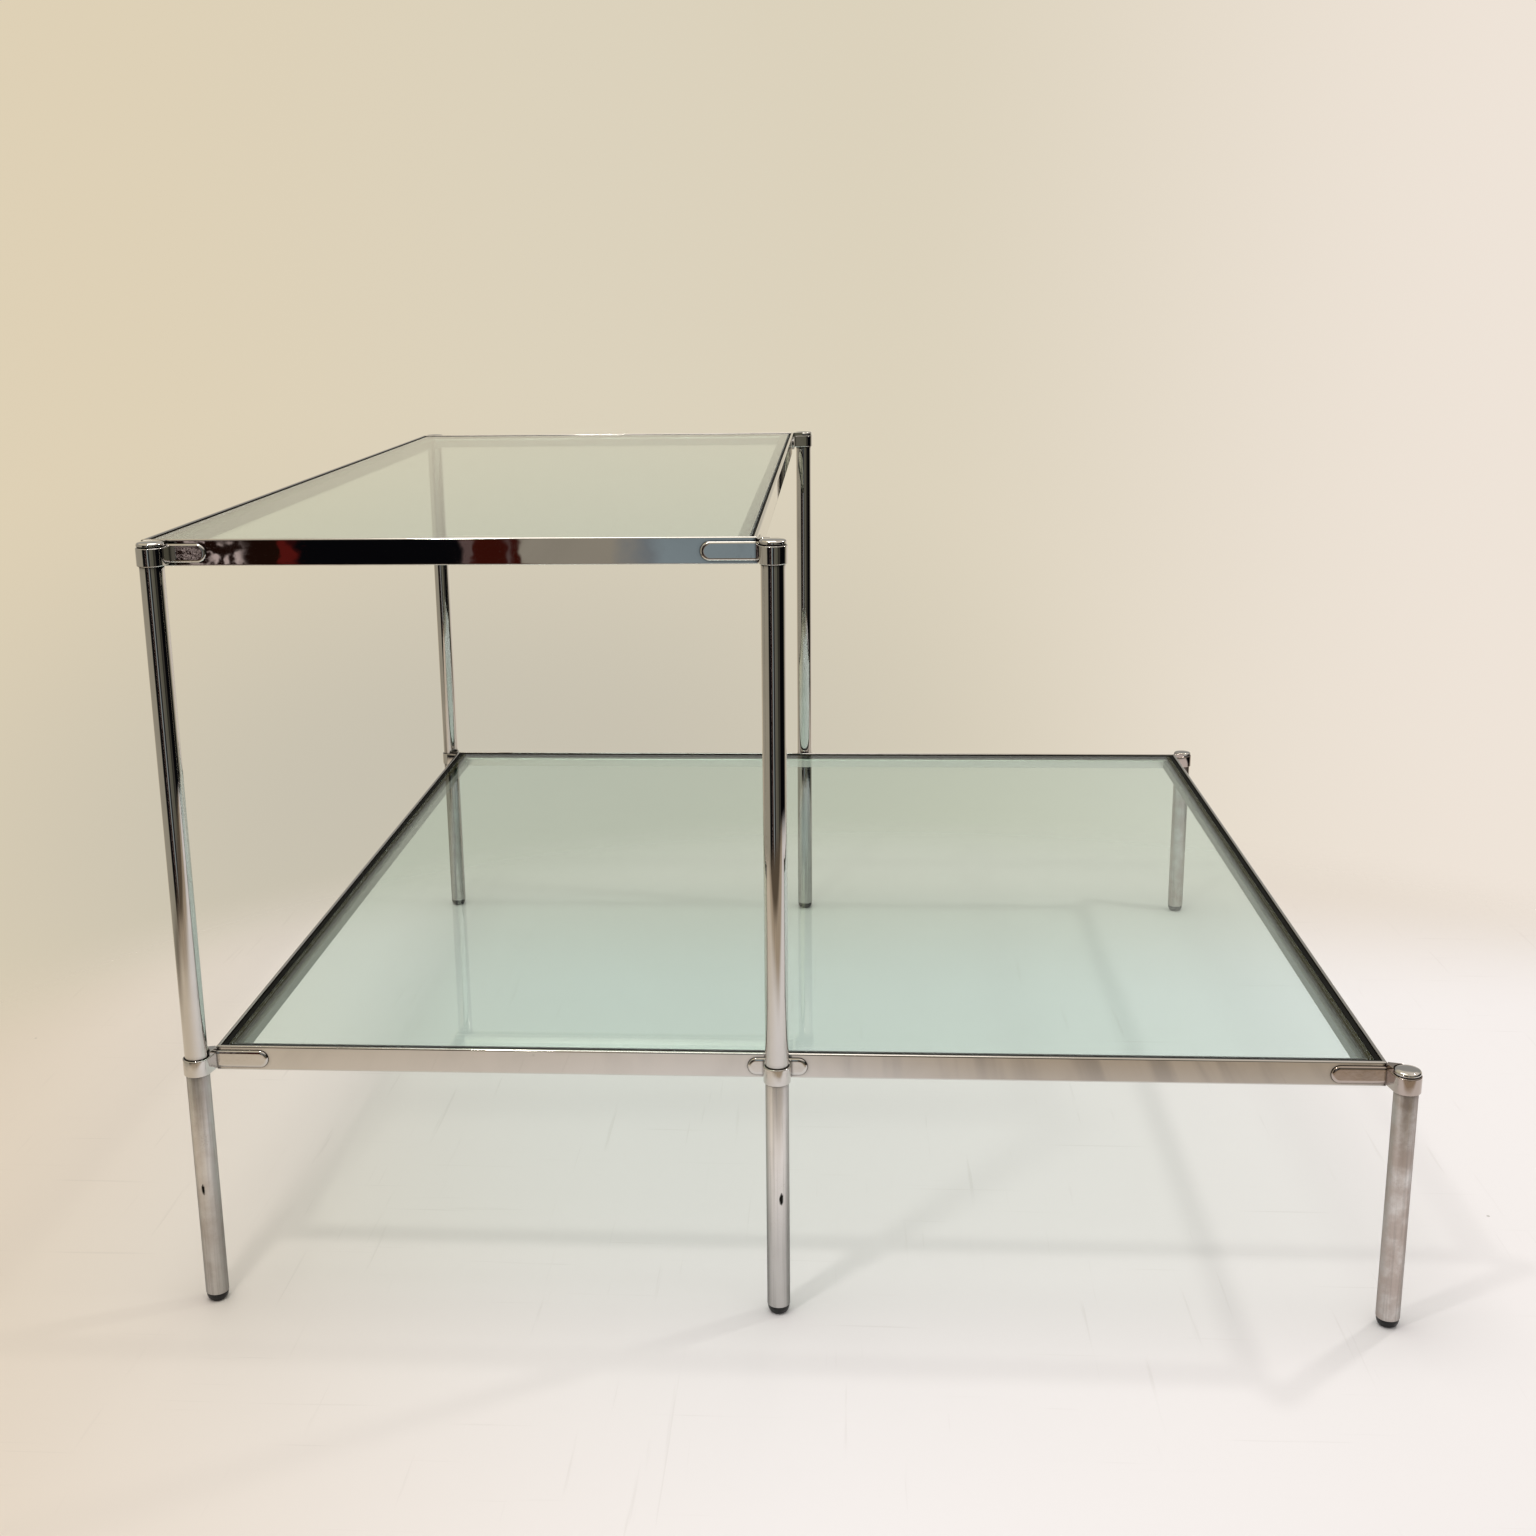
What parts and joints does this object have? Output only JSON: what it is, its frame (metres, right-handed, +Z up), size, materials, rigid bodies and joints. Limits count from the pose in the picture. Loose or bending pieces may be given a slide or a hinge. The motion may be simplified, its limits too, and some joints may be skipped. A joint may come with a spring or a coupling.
{
  "type": "side table",
  "caption": "Two-tier side table of chromed tube legs, cast corner connectors and mitred rails, with a raised glass shelf over one side of a square glass top.",
  "frame": {"origin": "on the floor, under the middle of the whole table's box", "axes": "+Z up, the front of the picture at -Y, +X to the right when seen from the front, so the raised shelf is on the -X side"},
  "size_m": [1.0516, 1.049, 0.6809],
  "materials": {
    "polished_chrome": "mirror-polished chrome plate on steel",
    "worn_chrome": "hazed, finely speckled chrome plate on steel",
    "cast_chrome": "polished chrome plate on a casting, with soft edges",
    "plain_steel": "turned, unplated",
    "glide_plastic": "moulded, black, satin",
    "seal_rubber": "extruded, black, matt",
    "glass": "clear float glass with a pale green tint and ground, polished edges"
  },
  "bodies": {
    "frame": {"cap_front_left": "polished_chrome", "cap_front_middle": "polished_chrome", "cap_front_right": "polished_chrome", "cap_rear_left": "polished_chrome", "cap_rear_middle": "polished_chrome", "cap_rear_right": "polished_chrome", "connector_lower_front_left": "cast_chrome", "connector_lower_front_middle": "cast_chrome", "connector_lower_front_right": "cast_chrome", "connector_lower_rear_left": "cast_chrome", "connector_lower_rear_middle": "cast_chrome", "connector_lower_rear_right": "cast_chrome", "connector_upper_front_left": "cast_chrome", "connector_upper_front_middle": "cast_chrome", "connector_upper_rear_left": "cast_chrome", "connector_upper_rear_middle": "cast_chrome", "glide_front_left": "glide_plastic", "glide_front_middle": "glide_plastic", "glide_front_right": "glide_plastic", "glide_rear_left": "glide_plastic", "glide_rear_middle": "glide_plastic", "glide_rear_right": "glide_plastic", "joint_spigot_front_left": "plain_steel", "joint_spigot_front_middle": "plain_steel", "joint_spigot_rear_left": "plain_steel", "joint_spigot_rear_middle": "plain_steel", "leg_front_left": "worn_chrome", "leg_front_middle": "worn_chrome", "leg_front_right": "worn_chrome", "leg_rear_left": "worn_chrome", "leg_rear_middle": "worn_chrome", "leg_rear_right": "worn_chrome", "post_front_left": "polished_chrome", "post_front_middle": "polished_chrome", "post_rear_left": "polished_chrome", "post_rear_middle": "polished_chrome", "rail_lower_front": "polished_chrome", "rail_lower_left": "polished_chrome", "rail_lower_rear": "polished_chrome", "rail_lower_right": "polished_chrome", "rail_upper_front": "polished_chrome", "rail_upper_left": "polished_chrome", "rail_upper_rear": "polished_chrome", "rail_upper_right": "polished_chrome", "seal_lower_front": "seal_rubber", "seal_lower_left": "seal_rubber", "seal_lower_rear": "seal_rubber", "seal_lower_right": "seal_rubber", "seal_upper_front": "seal_rubber", "seal_upper_left": "seal_rubber", "seal_upper_rear": "seal_rubber", "seal_upper_right": "seal_rubber"},
    "lower_pane": {"pane_lower": "glass"},
    "upper_pane": {"pane_upper": "glass"}
  },
  "joints": [
    {"name": "lower_pane_lift", "type": "slide", "parent": "frame", "child": "lower_pane", "axis": [0, 0, 1], "range_m": [0, 0.1]},
    {"name": "upper_pane_lift", "type": "slide", "parent": "frame", "child": "upper_pane", "axis": [0, 0, 1], "range_m": [0, 0.15]}
  ]
}
